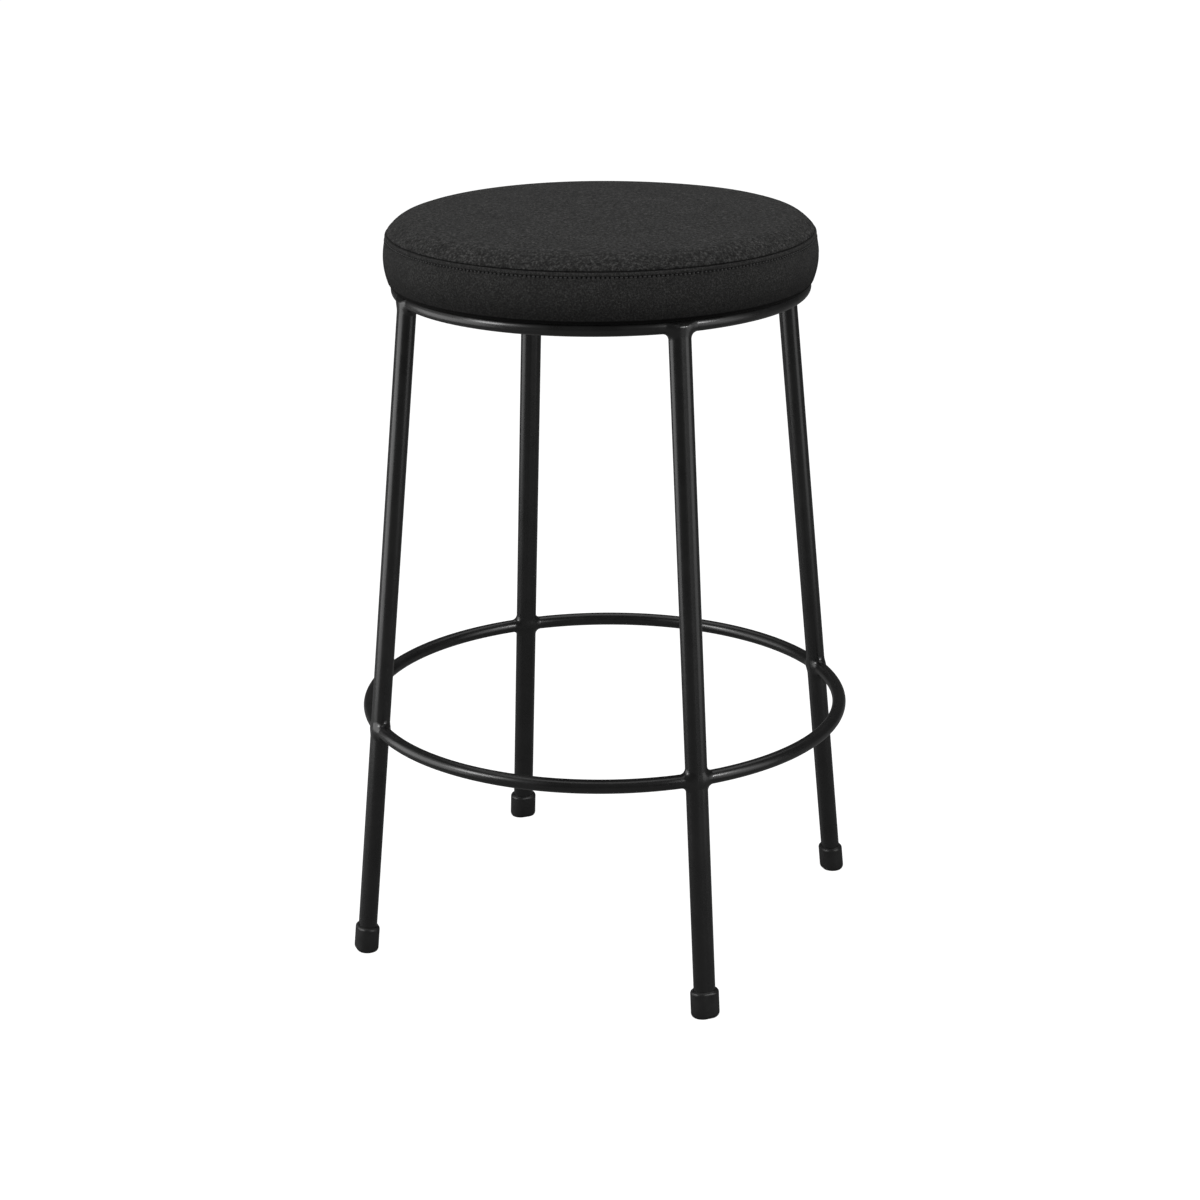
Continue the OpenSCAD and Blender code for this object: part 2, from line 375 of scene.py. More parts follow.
def cap_plastic():
    """Moulded black plastic with a fine spark-eroded texture."""
    n = Nodes("cap_plastic")
    grain = n.noise(2600, 2, 0.5)
    cloud = n.noise(90, 2, 0.5)
    scuff = n.noise(0.6, 3, 0.6, n.scaled(500, 500, 2200))
    colour = n.mix(n.spread(cloud, 0, 1), grey(0.0070), grey(0.0105))
    colour = n.mix(n.ramp(scuff, [(0.62, 0.0), (0.80, 0.4)]), colour, grey(0.03))
    normal = n.bump(grain, 0.25, 0.06 * MM)
    return n.finish(colour, n.spread(cloud, 0.36, 0.46), normal, Specular_IOR_Level=0.5)


def weave_height(n, across, along, pitch):
    """Height of a plain weave: two sets of round threads that pass over and under each other."""
    u = n.math("DIVIDE", across, pitch)
    v = n.math("DIVIDE", along, pitch)
    heights = []
    for a, b, phase in ((u, v, 0.0), (v, u, 1.0)):
        round_thread = n.math("ABSOLUTE", n.math("SINE", n.math("MULTIPLY", a, math.pi)))
        turn = n.math("ADD", n.math("ADD", b, n.math("FLOOR", a)), phase)
        wave = n.math("COSINE", n.math("MULTIPLY", turn, math.pi))
        heights.append(n.math("ADD", round_thread, n.math("MULTIPLY", wave, 0.45)))
    return n.math("MAXIMUM", *heights)


def painted_cloth_shade(n, angle, z):
    """Painted shade on the cloth: darkening in the seam and the needle holes, on top of their real relief, a
    painted shadow line along the turned-under edge, and painted shade that darkens the band towards its
    bottom.
    """
    # Painted shade in the needle holes.
    hole = n.math("MULTIPLY_ADD", n.math("COSINE", n.math("MULTIPLY", angle, stitch_count())), 0.5, 0.5)
    hole = n.math("MULTIPLY", hole, n.peak(z, stitch_place()[1], 1.0 * MM))
    # Painted shade in the seam's crease, joined with that of the needle holes.
    seam = n.math("MAXIMUM", n.peak(z, SEAM_Z, 0.50 * MM), hole)
    # Painted shadow: a nearly black line along the turned-under edge, just above the ring.
    edge = n.math("MINIMUM", n.math("MULTIPLY", n.peak(z, SEAT_BOTTOM, 2.2 * MM), 1.9), 1.0)
    # Painted shade: the band grows darker towards its bottom.
    low = n.math("MULTIPLY", n.peak(z, SEAT_BOTTOM, 17 * MM), 0.52)
    return n.math("MAXIMUM", seam, n.math("MAXIMUM", edge, low))


def charcoal_cloth(name, wrapped, painted_light_gain, heather_scale, mottle_scale, mottle):
    """Fine charcoal plain weave with paler fibres. On the band it follows the round side, on the top it
    lies flat."""
    n = Nodes(name)
    x, y, z = n.axes()
    angle = n.math("ARCTAN2", y, x)
    across, along = (n.math("MULTIPLY", angle, WIDEST_R), z) if wrapped else (x, y)
    wobble = n.math("MULTIPLY", n.noise(120, 2), 1.1 * MM)
    height = weave_height(n, n.math("ADD", across, wobble), n.math("ADD", along, wobble), YARN_PITCH)
    fibre = n.noise(2400, 3, 0.7)
    heather = n.noise(heather_scale, 4, 0.8)
    # All cloth colours are scaled by a gain. Above one, it paints the cloth lighter as painted light.
    weave_shade, yarn, pale = (tuple(painted_light_gain * c for c in colour) for colour in (CLOTH_WEAVE_SHADE, CLOTH_YARN, CLOTH_PALE))
    # Painted shade: the weave's low places, between the yarns, are coloured darker.
    colour = n.mix(n.ramp(height, [(0.25, 0.0), (0.95, 1.0)]), weave_shade, yarn)
    colour = n.mix(n.ramp(heather, [(0.47, 0.0), (0.60, 0.9)]), colour, pale)
    colour = n.mix(n.spread(n.noise(mottle_scale, 5, 0.8), 0.0, mottle), colour, grey(0.003))
    colour = n.mix(n.spread(n.noise(26, 3, 0.5), 0.0, 0.25), colour, grey(0.012))
    # Painted shade darkens the cloth almost to black in the seam, in the needle holes, in a shadow line at
    # the turned-under edge and towards the band's bottom.
    colour = n.mix(n.math("MULTIPLY", painted_cloth_shade(n, angle, z), 0.96), colour, grey(0.0008))
    weave = n.bump(height, 0.55, 0.22 * MM)
    normal = n.bump(fibre, 0.35, 0.15 * MM, weave)
    return n.finish(colour, n.spread(heather, 0.88, 0.98), normal, Specular_IOR_Level=0.05,
                    Sheen_Weight=0.02, Sheen_Roughness=0.5)


def sewing_thread():
    """Twisted black thread."""
    n = Nodes("sewing_thread")
    twist = n.noise(5200, 2, 0.5)
    colour = n.mix(n.spread(twist, 0, 1), grey(0.020), grey(0.050))
    return n.finish(colour, n.spread(twist, 0.55, 0.75), n.bump(twist, 0.5, 0.1 * MM), Sheen_Weight=0.1)


def dust_cloth():
    """Black non-woven sheet: short bonded fibres and a grid of embossed dots."""
    n = Nodes("dust_cloth")
    x, y, _ = n.axes()
    fibre = n.noise(1.0, 4, 0.75, n.scaled(900, 2600, 900))
    dots = n.math("MULTIPLY", *[n.math("SINE", n.math("MULTIPLY", a, math.pi / MM)) for a in (x, y)])
    pressed = n.ramp(dots, [(0.35, 0.0), (0.65, 1.0)])
    colour = n.mix(n.spread(fibre, 0, 1), grey(0.008), grey(0.024))
    colour = n.mix(pressed, colour, grey(0.006))
    normal = n.bump(fibre, 0.5, 0.1 * MM, n.bump(pressed, -0.3, 0.1 * MM))
    return n.finish(colour, n.spread(fibre, 0.65, 0.9), normal)


def plywood():
    """Raw birch plywood: plies at the edge, long grain on the faces."""
    n = Nodes("plywood")
    _, _, z = n.axes()
    grain = n.noise(1.0, 5, 0.65, n.scaled(18, 260, 260))
    ply = n.math("SINE", n.math("MULTIPLY", z, 2 * math.pi / (2.4 * MM)))
    colour = n.mix(n.spread(grain, 0, 1), (0.42, 0.27, 0.13), (0.60, 0.44, 0.25))
    colour = n.mix(n.ramp(ply, [(0.45, 0.0), (0.60, 0.45)]), colour, (0.26, 0.15, 0.07))
    return n.finish(colour, n.spread(grain, 0.55, 0.75), n.bump(grain, 0.3, 0.2 * MM))


def zinc():
    """Zinc plate: bright blue-grey with faint spangle and white bloom."""
    n = Nodes("zinc")
    spangle = n.noise(700, 3, 0.6)
    colour = n.mix(n.spread(spangle, 0, 1), (0.46, 0.48, 0.51), (0.66, 0.67, 0.69))
    return n.finish(colour, n.spread(spangle, 0.25, 0.45), n.bump(spangle, 0.15, 0.05 * MM), Metallic=1.0)


def black_oxide():
    """Black oxide on steel, with bare metal showing through in specks."""
    n = Nodes("black_oxide")
    speck = n.noise(1800, 3, 0.65)
    colour = n.mix(n.ramp(speck, [(0.58, 0.0), (0.75, 0.6)]), grey(0.020), grey(0.10))
    return n.finish(colour, n.spread(speck, 0.34, 0.5), n.bump(speck, 0.2, 0.04 * MM), Metallic=0.7)


# ---------------------------------------------------------------- the seat cushion

def top_line():
    """The cushion's top in the (r, z) plane, from the centre out to the seam."""
    slope = math.radians(SHOULDER_ANGLE)
    centre = (seam_r() - SHOULDER * math.cos(slope), SEAM_Z - SHOULDER * math.sin(slope))
    crown = centre[0] ** 2 / (2 * (CROWN_Z - centre[1] - SHOULDER))
    edge = 90 - math.degrees(math.asin(centre[0] / crown))
    dome = arc((0, CROWN_Z - crown), crown, 90, edge, 60)
    return np.concatenate([dome, arc(centre, SHOULDER, edge, SHOULDER_ANGLE, 60)[1:]])


def seam_r():
    return WIDEST_R - UPPER_BULGE * (1 - math.cos(math.asin((SEAM_Z - WIDEST_Z) / UPPER_BULGE)))


def side_line():
    """The cushion's side, from the seam down and round to the flap that is turned under."""
    seam_angle = math.degrees(math.asin((SEAM_Z - WIDEST_Z) / UPPER_BULGE))
    edge_z = SEAT_BOTTOM - EDGE_DROP + EDGE_ROLL
    slope = -math.asin((WIDEST_Z - edge_z) / (LOWER_BULGE - EDGE_ROLL))
    edge = (WIDEST_R - LOWER_BULGE + (LOWER_BULGE - EDGE_ROLL) * math.cos(slope), edge_z)
    upper = arc((WIDEST_R - UPPER_BULGE, WIDEST_Z), UPPER_BULGE, seam_angle, 0, 60)
    lower = arc((WIDEST_R - LOWER_BULGE, WIDEST_Z), LOWER_BULGE, 0, math.degrees(slope), 60)
    roll = arc(edge, EDGE_ROLL, math.degrees(slope), -115, 18)
    return np.concatenate([upper, lower[1:], roll[1:], [[RING_R, SEAT_BOTTOM], [FLAP_R, SEAT_BOTTOM]]])


def pad_form():
    """A slightly small copy of the cushion, meshed evenly."""
    slim = spaced(np.concatenate([top_line(), side_line()]), 6 * MM)
    slim[:, 0] -= PAD_INSET * np.clip(slim[:, 0] / WIDEST_R, 0, 1)
    slim[:, 1] = MIDDLE_Z + (slim[:, 1] - MIDDLE_Z) * PAD_HEIGHT_SHARE
    slim[[0, -1], 0] = 0
    pad = revolve("pad_simulation", slim, 160)
    voxel_remesh(pad, 5.5 * MM)
    return pad


def hold_edges(pad, points):
    """Weights that hold the pad's underside fully and its seam partly."""
    radius = np.hypot(points[:, 0], points[:, 1])
    seam = np.abs(points[:, 2] - SEAM_Z) + np.abs(radius - seam_r()) < 9 * MM
    under = points[:, 2] < SEAT_BOTTOM + 8 * MM
    hold = pad.vertex_groups.new(name="hold")
    hold.add([int(i) for i in np.flatnonzero(under)], 1.0, "REPLACE")
    hold.add([int(i) for i in np.flatnonzero(seam)], 0.6, "ADD")


def swollen_pad():
    """The pad, swollen under pressure as cloth with its edges held."""
    pad = pad_form()
    start = read_points(pad)
    hold_edges(pad, start)
    cloth = pad.modifiers.new("cloth", "CLOTH")
    settings = cloth.settings
    settings.quality = 6
    settings.mass = 0.3
    settings.tension_stiffness = settings.compression_stiffness = 12
    settings.bending_stiffness = 0.6
    settings.use_pressure = True
    settings.uniform_pressure_force = 4
    settings.effector_weights.gravity = 0
    settings.vertex_group_mass = "hold"
    cloth.point_cache.frame_start, cloth.point_cache.frame_end = 1, PAD_FRAMES
    for step in range(1, PAD_FRAMES + 1):
        scene.frame_set(step)
    apply_modifiers(pad)
    scene.frame_set(1)
    moved = read_points(pad) - start
    length = np.linalg.norm(moved, axis=1, keepdims=True)
    moved *= np.minimum(1, 7 * MM / np.maximum(length, 1e-9))
    write_points(pad, start + moved)
    return pad


def swelling(pad, outline):
    """How far the swollen pad stands out from the outline, by row and by direction: its slow part only,
    with the mean taken away."""
    bm = bmesh.new()
    bm.from_mesh(pad.data)
    tree = BVHTree.FromBMesh(bm)
    bm.free()
    directions = circle(SWELL_DIRECTIONS)
    inner = Vector((0, 0, MIDDLE_Z))
    field = np.zeros((len(outline), SWELL_DIRECTIONS))
    for i, (r, z) in enumerate(outline):
        for j, angle in enumerate(directions):
            way = Vector((r * math.cos(angle), r * math.sin(angle), z)) - inner
            hit = tree.ray_cast(inner, way.normalized())[0]
            field[i, j] = (hit - inner).length - way.length if hit else 0
    waves = np.fft.rfft(field, axis=1)
    waves[:, 0] = 0
    waves *= np.exp(-(np.arange(waves.shape[1]) / SLOW_WAVES) ** 2)
    return np.clip(np.fft.irfft(waves, SWELL_DIRECTIONS, axis=1), -SWELL_LIMIT, SWELL_LIMIT)


def stitch_count():
    return int(round(2 * math.pi * seam_r() / STITCH_PITCH))


def creases():
    """Short soft creases beside the seam: (angle, distance below the seam, length, slant, height)."""
    rng = random.Random(7)
    found = []
    for _ in range(44):
        side = -1 if rng.random() < 0.6 else 1.6
        found.append((rng.uniform(0, 2 * math.pi),
                      rng.uniform(2, 11) * MM * side,
                      rng.uniform(5, 15) * MM,
                      rng.uniform(-1.0, 1.0),
                      rng.uniform(0.06, 0.18) * MM))
    return found


def line_lengths(line):
    """Distance along a line in the (r, z) plane to each of its points."""
    return np.concatenate([[0], np.cumsum(np.hypot(*np.diff(line, axis=0).T))])


def line_rows(line, fine_to, fine, coarse):
    """Rows along a line from the seam, closely spaced at first and then coarse: (r, z, distance)."""
    along = line_lengths(line)
    rest = along[-1] - fine_to
    steps = np.concatenate([np.arange(0, fine_to, fine),
                            np.linspace(fine_to, along[-1], max(3, int(rest / coarse)))])
    return np.stack([np.interp(steps, along, line[:, 0]), np.interp(steps, along, line[:, 1]), steps], -1)


def cushion_rows():
    """Rows of the cushion's outline, close together near the seam: (r, z, distance below the seam)."""
    up = line_rows(top_line()[::-1], 16 * MM, 0.8 * MM, 4.5 * MM)
    down = line_rows(side_line(), 11 * MM, 0.55 * MM, 1.8 * MM)
    return np.concatenate([up[:0:-1] * (1, 1, -1), down])


def seam_relief(below, angle):
    """Height of the cover's relief at a distance below the seam: crease, welt, stitched groove and puff."""
    half_welt = TOPSTITCH_DROP / 2
    stitch = 0.5 + 0.5 * np.cos(angle * stitch_count())
    crease = -SEAM_DEPTH * hill(below, 0, 0.65 * MM)
    shoulder = 0.30 * MM * hill(np.abs(below), 2.0 * MM, 1.2 * MM)
    welt = WELT_HEIGHT / (1 + np.exp((np.abs(below - half_welt) - half_welt) / (0.30 * MM)))
    groove = -(GROOVE_DEPTH + HOLE_DEPTH * stitch ** 2) * hill(below, TOPSTITCH_DROP, 0.75 * MM)
    puff = (0.12 + 0.34 * (1 - stitch)) * MM * hill(below, TOPSTITCH_DROP + 1.7 * MM, 0.8 * MM)
    return crease + shoulder + welt + groove + puff


def crease_relief(below, angle):
    """Relief of the soft creases, each a low ridge with a shallow dip beside it."""
    relief = np.zeros(below.shape)
    for centre, drop, length, slant, height in creases():
        turn = (angle - centre + math.pi) % (2 * math.pi) - math.pi
        u = turn * WIDEST_R
        v = below - drop
        along = u * math.cos(slant) + v * math.sin(slant)
        across = -u * math.sin(slant) + v * math.cos(slant)
        ridge = hill(across, 0, 1.3 * MM) - 0.6 * hill(across, 1.8 * MM, 1.5 * MM)
        relief += height * hill(along, 0, length) * ridge
    return relief


def clear_of_ring(r, z):
    """Points that would touch the seat ring, pushed straight off it."""
    off = np.hypot(r - RING_R, z - RING_Z)
    push = np.maximum(1, (RING_ROD + RING_AIR) / np.maximum(off, MM))
    return RING_R + (r - RING_R) * push, RING_Z + (z - RING_Z) * push


def padding_relief(outline, angles):
    """The swollen pad's relief, read between its directions."""
    pad = swollen_pad()
    field = swelling(pad, outline)
    bpy.data.objects.remove(pad)
    turned = angles / (2 * math.pi) * SWELL_DIRECTIONS
    first = np.floor(turned).astype(int) % SWELL_DIRECTIONS
    part = turned - np.floor(turned)
    return field[:, first] * (1 - part) + field[:, (first + 1) % SWELL_DIRECTIONS] * part


def cover_relief(rows, angles):
    """All of the cover's relief, by row and by direction: seam, creases, gathers at the edge, slow waves."""
    below, angle = np.meshgrid(rows[:, 2], angles, indexing="ij")
    relief = seam_relief(below, angle) + crease_relief(below, angle)
    gathers = 0.35 * MM * np.sin(angle * 52 + 1.3 * np.sin(angle * 7))
    gathers *= np.clip((below - 46 * MM) / (8 * MM), 0, 1)
    relief += np.where(below > below.max() - 4 * MM, 0, gathers)
    relief += padding_relief(rows[:, :2], angles)
    slow = 0.5 * np.sin(3 * angle + 0.7) + 0.35 * np.sin(5 * angle + 2.1) + 0.3 * np.sin(8 * angle + 4.0)
    return relief + 0.45 * MM * slow * hill(below, 20 * MM, 16 * MM)


def outward_normals(outline):
    """Unit normals of the outline in the (r, z) plane."""
    tangent = np.gradient(outline, axis=0)
    tangent /= np.maximum(np.hypot(*tangent.T)[:, None], 1e-9)
    return np.stack([-tangent[:, 1], tangent[:, 0]], -1)


def cover_points(rows, angles):
    """The cover's points, row by row, kept above the seat's bottom and clear of the ring."""
    relief = cover_relief(rows, angles)
    normal = outward_normals(rows[:, :2])
    r = rows[:, 0][:, None] + relief * normal[:, 0][:, None]
    z = rows[:, 1][:, None] + relief * normal[:, 1][:, None]
    z = np.maximum(z, np.where(r > RING_R, SEAT_BOTTOM - EDGE_DROP, SEAT_BOTTOM))
    r, z = clear_of_ring(r, z)
    return np.stack([r * np.cos(angles), r * np.sin(angles), z], -1).reshape(-1, 3)


def seat_cushion():
    """The upholstered seat as one closed form: crowned top, seam, topstitched band, turned-under edge and a
    pocket for the board."""
    rows = cushion_rows()
    count = COLUMNS_PER_STITCH * stitch_count()
    angles = circle(count)
    verts = [(0, 0, CROWN_Z)] + [tuple(p) for p in cover_points(rows, angles)]
    pocket = [(FLAP_R, SEAT_BOTTOM + CLOTH), (POCKET_R, SEAT_BOTTOM + CLOTH), (POCKET_R, POCKET_TOP)]
    for r, z in pocket:
        verts += [(r * math.cos(a), r * math.sin(a), z) for a in angles]
    verts.append((0, 0, POCKET_TOP))
    cushion = outward(new_object("seat_cushion", verts, turned_faces(len(rows) + len(pocket), count)))
    # The top is the same cloth as the band, painted 1.35 times lighter as painted light on the top.
    cushion.data.materials.append(charcoal_cloth("cloth_top_painted_lighter", False, 1.35, 520, 280, 0.95))
    cushion.data.materials.append(charcoal_cloth("cloth_band", True, 1.0, 900, 460, 0.6))
    top_rows = int(np.sum(rows[:, 2] < 0)) + 1
    on_band = np.zeros(len(cushion.data.polygons), dtype=np.int32)
    on_band[count * top_rows:] = 1
    cushion.data.polygons.foreach_set("material_index", on_band)
    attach(cushion, "root")
    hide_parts("cover_top_panel", "cover_side_band", "foam_pad")


def stitch_place():
    """Radius and height of the line of stitches."""
    rows = cushion_rows()
    return [float(np.interp(TOPSTITCH_DROP, rows[:, 2], rows[:, i])) for i in (0, 1)]


def stitch_points(place, start, pitch):
    """Rings of points along one stitch, which starts at an angle and dives in at both ends."""
    r0, z0 = place
    tilt = math.atan2(z0 - WIDEST_Z, r0 - (WIDEST_R - UPPER_BULGE))
    out = np.array([math.cos(tilt), math.sin(tilt)])
    side = np.array([-math.sin(tilt), math.cos(tilt)])
    points = []
    for t in np.linspace(0, 1, STITCH_RINGS):
        angle = start + (0.15 + 0.70 * t) * pitch
        rise = math.sin(math.pi * t)
        lift = -0.95 * MM + 0.75 * MM * rise ** 0.6
        thick = THREAD * (0.75 + 0.25 * rise)
        for turn in circle(THREAD_SECTION):
            r, z = place + out * (lift + thick * math.cos(turn)) + side * thick * 1.15 * math.sin(turn)
            points.append((r * math.cos(angle), r * math.sin(angle), z))
    return points


def topstitching():
    """One line of stitches below the seam, sunk between the needle holes."""
    place = np.array(stitch_place())
    pitch = 2 * math.pi / stitch_count()
    verts, faces = [], []
    for k in range(stitch_count()):
        faces += tube_faces(STITCH_RINGS, THREAD_SECTION, len(verts))
        verts += stitch_points(place, k * pitch, pitch)
    thread = outward(new_object("topstitch_thread", verts, faces))
    thread.data.materials.append(sewing_thread())
    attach(thread, "root")


def sheet_height(r, angle):
    """Height of the dust cover: it hangs in the middle, ripples a little and is pulled up at its staples."""
    hang = -2.6 * MM * np.clip(1 - (r / (132 * MM)) ** 2, 0, 1) ** 1.5
    ripple = 0.35 * MM * np.sin(3 * angle + 1.0 + r * 25) * np.clip(1 - r / (130 * MM), 0, 1)
    pull = 0.10 * MM * np.cos(DUST_STAPLES * angle) * np.clip((r - 150 * MM) / (15 * MM), 0, 1)
    return dust_high.z - 0.17 * MM + hang + ripple + pull


def dust_cover():
    """The black sheet under the board, pulled between its staples."""
    radius = dust_high.x
    radii = np.concatenate([np.linspace(8, 140, 23), np.linspace(144, 165, 12)]) / 165 * radius
    angles = circle(256)
    verts = [(0, 0, sheet_height(0.0, 0.0))]
    for layer, lift in ((radii, 0.0), (radii[::-1], -DUST_THICK)):
        for r in layer:
            verts += zip(r * np.cos(angles), r * np.sin(angles), sheet_height(r, angles) + lift)
    verts.append((0, 0, sheet_height(0.0, 0.0) - DUST_THICK))
    sheet = outward(new_object("dust_cover_sheet", verts, turned_faces(2 * len(radii), len(angles))))
    sheet.data.materials.append(dust_cloth())
    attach(sheet, "root")
    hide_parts("dust_cover")


# ---------------------------------------------------------------- welded joints

def leg_matrix():
    """To the stool's axes, from those of the leg at angle 0, whose z runs up its axis from the floor."""
    return Matrix.Translation((LEG_FOOT_R, 0, 0)) @ Matrix.Rotation(-LEAN, 4, "Y")


def leg_gap(points):
    """Distance outside the oval leg that stands at angle 0."""
    inverse = np.array(leg_matrix().inverted())
    local = points @ inverse[:3, :3].T + inverse[:3, 3]
    half_flat = (LEG_WIDTH - LEG_DEPTH) / 2
    return np.hypot(local[:, 0], np.maximum(np.abs(local[:, 1]) - half_flat, 0)) - LEG_DEPTH / 2


def ring_gap(points, radius, rod, height):
    """Distance outside a ring of round rod."""
    return np.hypot(np.hypot(points[:, 0], points[:, 1]) - radius, points[:, 2] - height) - rod


def soft_union(a, b, reach):
    """The smaller of two distances, rounded where they meet."""
    h = np.clip(reach - np.abs(a - b), 0, None) / reach
    return np.minimum(a, b) - h * h * reach / 4


def settle(points, distance):
    """Moves points that lie near a surface to just inside it, given its distance function."""
    step = 0.02 * MM
    for _ in range(8):
        d = distance(points) + SKIN_SINK
        slope = np.stack([(distance(points + step * axis) - distance(points - step * axis)) / (2 * step)
                          for axis in np.eye(3)], -1)
        move = np.where(np.abs(d) < 2.2 * MM, d, 0) / np.maximum((slope ** 2).sum(1), 0.05)
        points = points - move[:, None] * slope
    return points


def tube_stub(centres, directions, half_long, half_short):
    """A closed oval tube through some centres, each with two unit directions for its section."""
    verts = []
    for c, (across, along) in zip(centres, directions):
        for t in circle(STUB_SECTION):
            straight = (half_long - half_short) * np.sign(math.sin(t))
            sideways = half_short * math.sin(t) + straight
            verts.append(c + across * half_short * math.cos(t) + along * sideways)
    return verts, tube_faces(len(centres), STUB_SECTION)


def leg_stub(low, high):
    """A short filled length of the leg at angle 0, between two heights along its axis."""
    axes = np.array(leg_matrix())
    levels = np.linspace(low, high, 12)
    centres = [axes[:3, 3] + axes[:3, 2] * s for s in levels]
    return tube_stub(centres, [(axes[:3, 0], axes[:3, 1])] * len(levels), LEG_WIDTH / 2, LEG_DEPTH / 2)


def rod_stub(radius, rod, height, half_angle):
    """A short length of a ring's rod, centred on angle 0."""
    up = np.array([0, 0, 1.0])
    out = [np.array([math.cos(t), math.sin(t), 0]) for t in np.linspace(-half_angle, half_angle, 24)]
    return tube_stub([o * radius + up * height for o in out], [(o, up) for o in out], rod, rod)


def blended_joint(stubs, distance):
    """Stubs joined into one skin, with smooth fillets where they meet. Away from the fillets the skin lies
    just inside the steel."""
    verts, faces = [], []
    for stub_verts, stub_faces in stubs:
        faces += [tuple(i + len(verts) for i in f) for f in stub_faces]
        verts += stub_verts
    joint = outward(new_object("joint", verts, faces))
    voxel_remesh(joint, 0.8 * MM)
    points = settle(read_points(joint), distance)
    polygons = [tuple(p.vertices) for p in joint.data.polygons]
    bpy.data.objects.remove(joint)
    return points, polygons


def four_joints(name, points, polygons, replaced):
    """The same joint at all four legs, as one piece."""
    verts, faces = [], []
    for turn in LEG_TURNS:
        c, s = math.cos(turn), math.sin(turn)
        spin = np.array([[c, -s, 0], [s, c, 0], [0, 0, 1]])
        faces += [tuple(i + len(verts) for i in f) for f in polygons]
        verts += list(points @ spin.T)
    joints = outward(new_object(name, verts, faces))
    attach(joints, "root")
    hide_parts(replaced)
    return joints


def leg_top_joints():
    """Each leg's top, blended round the seat ring and closed over its open end."""
    reach = 7.0 * MM
    span = RING_Z / math.cos(LEAN)

    def distance(points):
        leg = np.maximum(leg_gap(points), points[:, 2] - RING_Z)
        return soft_union(leg, ring_gap(points, RING_R, RING_ROD, RING_Z), reach)

    stubs = [leg_stub(span - 22 * MM, span - 0.2 * MM), rod_stub(RING_R, RING_ROD, RING_Z, math.radians(6.5))]
    points, polygons = blended_joint(stubs, distance)
    points[:, 2] = np.minimum(points[:, 2], RING_Z + RING_ROD - 0.1 * MM)
    return four_joints("leg_top_fillets", points, polygons, "leg_top_welds")


def footrest_joints():
    """The ends of the footrest's arcs, blended into each leg on both sides."""
    reach = 6.0 * MM
    along = REST_Z / math.cos(LEAN)

    def distance(points):
        return soft_union(leg_gap(points), ring_gap(points, REST_R, REST_ROD, REST_Z), reach)

    stubs = [leg_stub(along - 16 * MM, along + 16 * MM),
             rod_stub(REST_R, REST_ROD, REST_Z, math.radians(5.6))]
    points, polygons = blended_joint(stubs, distance)
    return four_joints("footrest_fillets", points, polygons, "footrest_welds")


# ---------------------------------------------------------------- finishes on the carried-over nodes

def set_material(obj, material):
    obj.data.materials.clear()
    obj.data.materials.append(material)


def dress_nodes(paint):
    """Gives each carried-over CAD node its finish, by the record's slot."""
    finishes = {"frame_paint": paint, "cap_plastic": cap_plastic(), "plywood": plywood(),
                "fastener_zinc": zinc(), "fastener_black": black_oxide()}
    for part in frame["record"]["subparts"]:
        finish = finishes.get(part["material_slot"])
        if finish is not None:
            set_material(nodes[part["node"]], finish)


# ---------------------------------------------------------------- camera, floor and light

def camera():
    """The camera, placed in heights of the seat ring: it looks down past the front right leg."""
    azimuth, elevation, roll = (math.radians(a) for a in (VIEW_TURN, VIEW_RISE, VIEW_ROLL))
    back = Vector((math.sin(azimuth) * math.cos(elevation), -math.cos(azimuth) * math.cos(elevation),
                   math.sin(elevation)))
    right = (-back).cross(Vector((0, 0, 1))).normalized()
    up = right.cross(-back)
    right, up = right * math.cos(roll) + up * math.sin(roll), up * math.cos(roll) - right * math.sin(roll)
    data = bpy.data.cameras.new("camera")
    data.sensor_width = 36.0
    data.lens = 79.06
    data.shift_x = -0.0030
    data.shift_y = -0.0203
    data.clip_end = 100
    cam = bpy.data.objects.new("camera", data)
    scene.collection.objects.link(cam)
    cam.matrix_world = Matrix((right, up, back)).transposed().to_4x4()
    cam.location = Vector((0, 0, 0.55 * RING_Z)) + back * VIEW_DISTANCE
    scene.camera = cam


def floor():
    """A wide pale floor."""
    ground = revolve("floor", [(0, 0), (40, 0)], 96)
    n = Nodes("floor")
    mottle = n.noise(3, 2)
    n.finish(n.mix(n.spread(mottle, 0, 1), grey(0.15), grey(0.17)), 0.9, Specular_IOR_Level=0.0)
    seen = n.tree.nodes.new("ShaderNodeLightPath").outputs["Is Camera Ray"]
    n.shader.inputs["Emission Color"].default_value = (1, 1, 1, 1)
    n.link(n.math("MULTIPLY", seen, 0.96), n.shader.inputs["Emission Strength"])
    ground.data.materials.append(n.material)


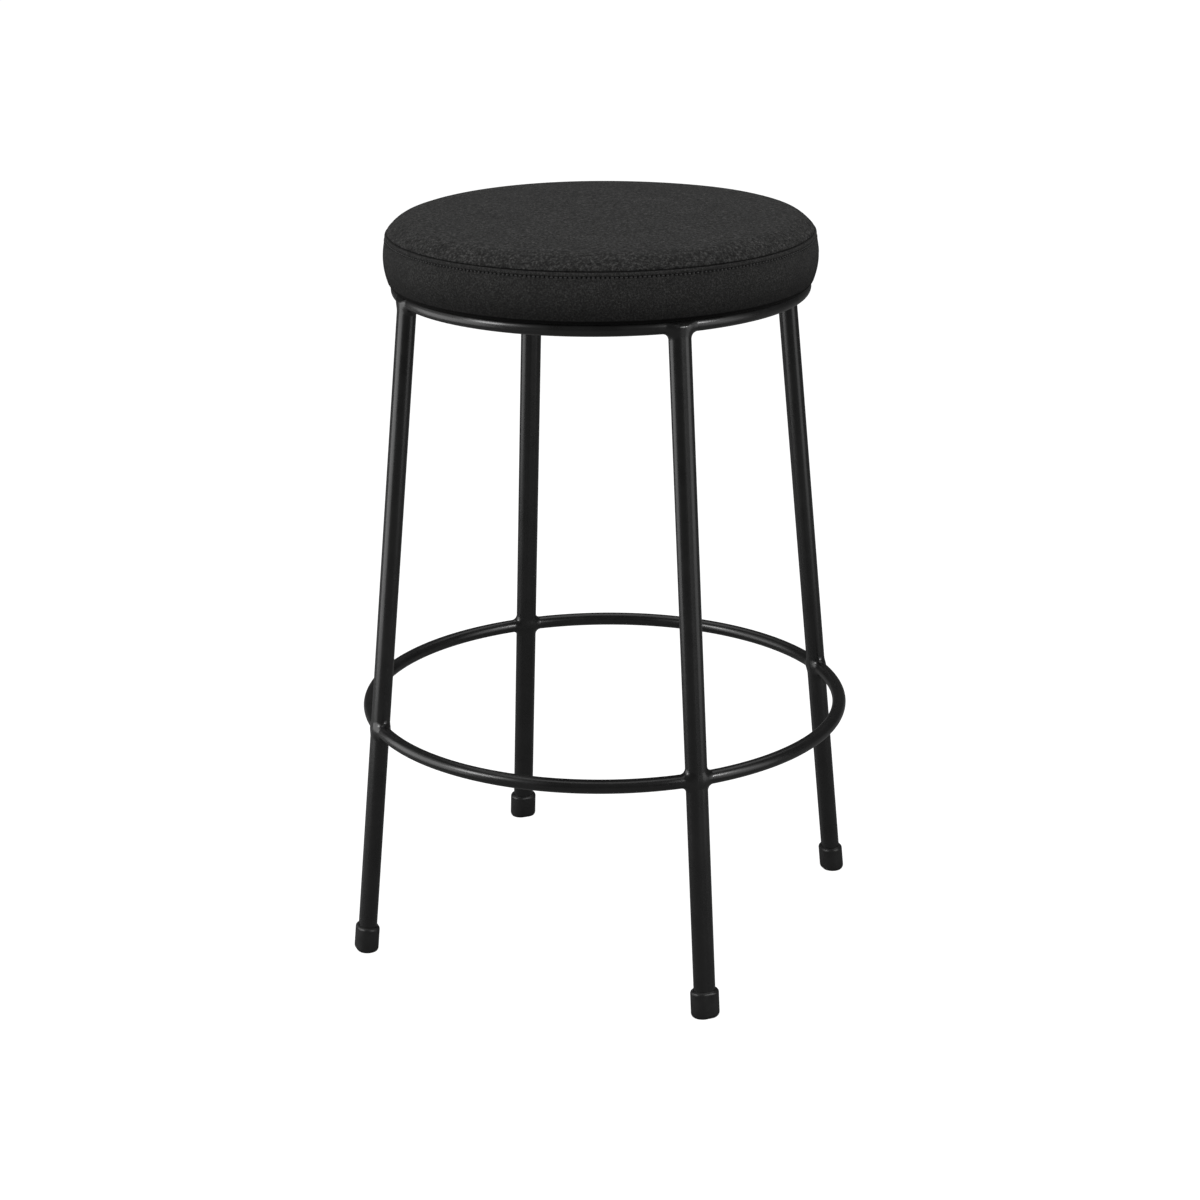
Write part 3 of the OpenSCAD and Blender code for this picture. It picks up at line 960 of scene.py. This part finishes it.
def area_light(name, turn, distance, height, size, power):
    """A soft light at a turn in degrees round from the camera, aimed at the middle of the stool."""
    angle = math.radians(VIEW_TURN + turn)
    data = bpy.data.lights.new(name, "AREA")
    data.shape = "RECTANGLE"
    data.size, data.size_y = size
    data.energy = power
    lamp = bpy.data.objects.new(name, data)
    scene.collection.objects.link(lamp)
    lamp.location = (distance * math.sin(angle), -distance * math.cos(angle), height)
    lamp.rotation_mode = "QUATERNION"
    lamp.rotation_quaternion = (Vector((0, 0, 0.6 * RING_Z)) - lamp.location).to_track_quat("-Z", "Y")
    lamp.visible_camera = False


def surround():
    """White to the eye, pale to matt surfaces, and nearly dark to gloss, like black flags between lights."""
    world = bpy.data.worlds.new("surround")
    world.use_nodes = True
    tree = world.node_tree
    path = tree.nodes.new("ShaderNodeLightPath")
    level = None
    for ray, seen in (("Is Glossy Ray", WORLD_GLOSSY), ("Is Camera Ray", WORLD_SEEN)):
        node = tree.nodes.new("ShaderNodeMath")
        node.operation = "MULTIPLY_ADD"
        tree.links.new(path.outputs[ray], node.inputs[0])
        node.inputs[1].default_value = seen - WORLD_MATT
        node.inputs[2].default_value = WORLD_MATT
        if level is not None:
            tree.links.new(level, node.inputs[2])
        level = node.outputs[0]
    shade = tree.nodes["Background"]
    shade.inputs["Color"].default_value = (1, 1, 1, 1)
    tree.links.new(level, shade.inputs["Strength"])
    scene.world = world


def studio():
    """A wide soft light overhead, a broad one with a small bright core at each side, and a low one at each
    side for the lower ends of the legs."""
    surround()
    area_light("overhead", 170, 0.45, 2.6, (2.6, 2.6), 22)
    area_light("left_broad", -88, 2.5, 1.1, (2.6, 2.2), 8)
    area_light("left_core", -62, 2.3, 1.35, (0.7, 0.8), 21)
    area_light("left_low", -84, 1.15, 0.34, (1.1, 0.7), 4.2)
    area_light("right_broad", 62, 2.3, 1.05, (1.3, 1.8), 4.5)
    area_light("right_core", 50, 2.3, 1.40, (0.35, 0.40), 18)
    area_light("right_low", 60, 1.25, 0.34, (0.7, 0.7), 1.4)
    scene.view_settings.view_transform = "Standard"
    scene.view_settings.look = "None"


# ---------------------------------------------------------------- build

camera()
floor()
studio()
paint = powder_coat()
dress_nodes(paint)
seat_cushion()
topstitching()
dust_cover()
for joints in (leg_top_joints(), footrest_joints()):
    set_material(joints, paint)
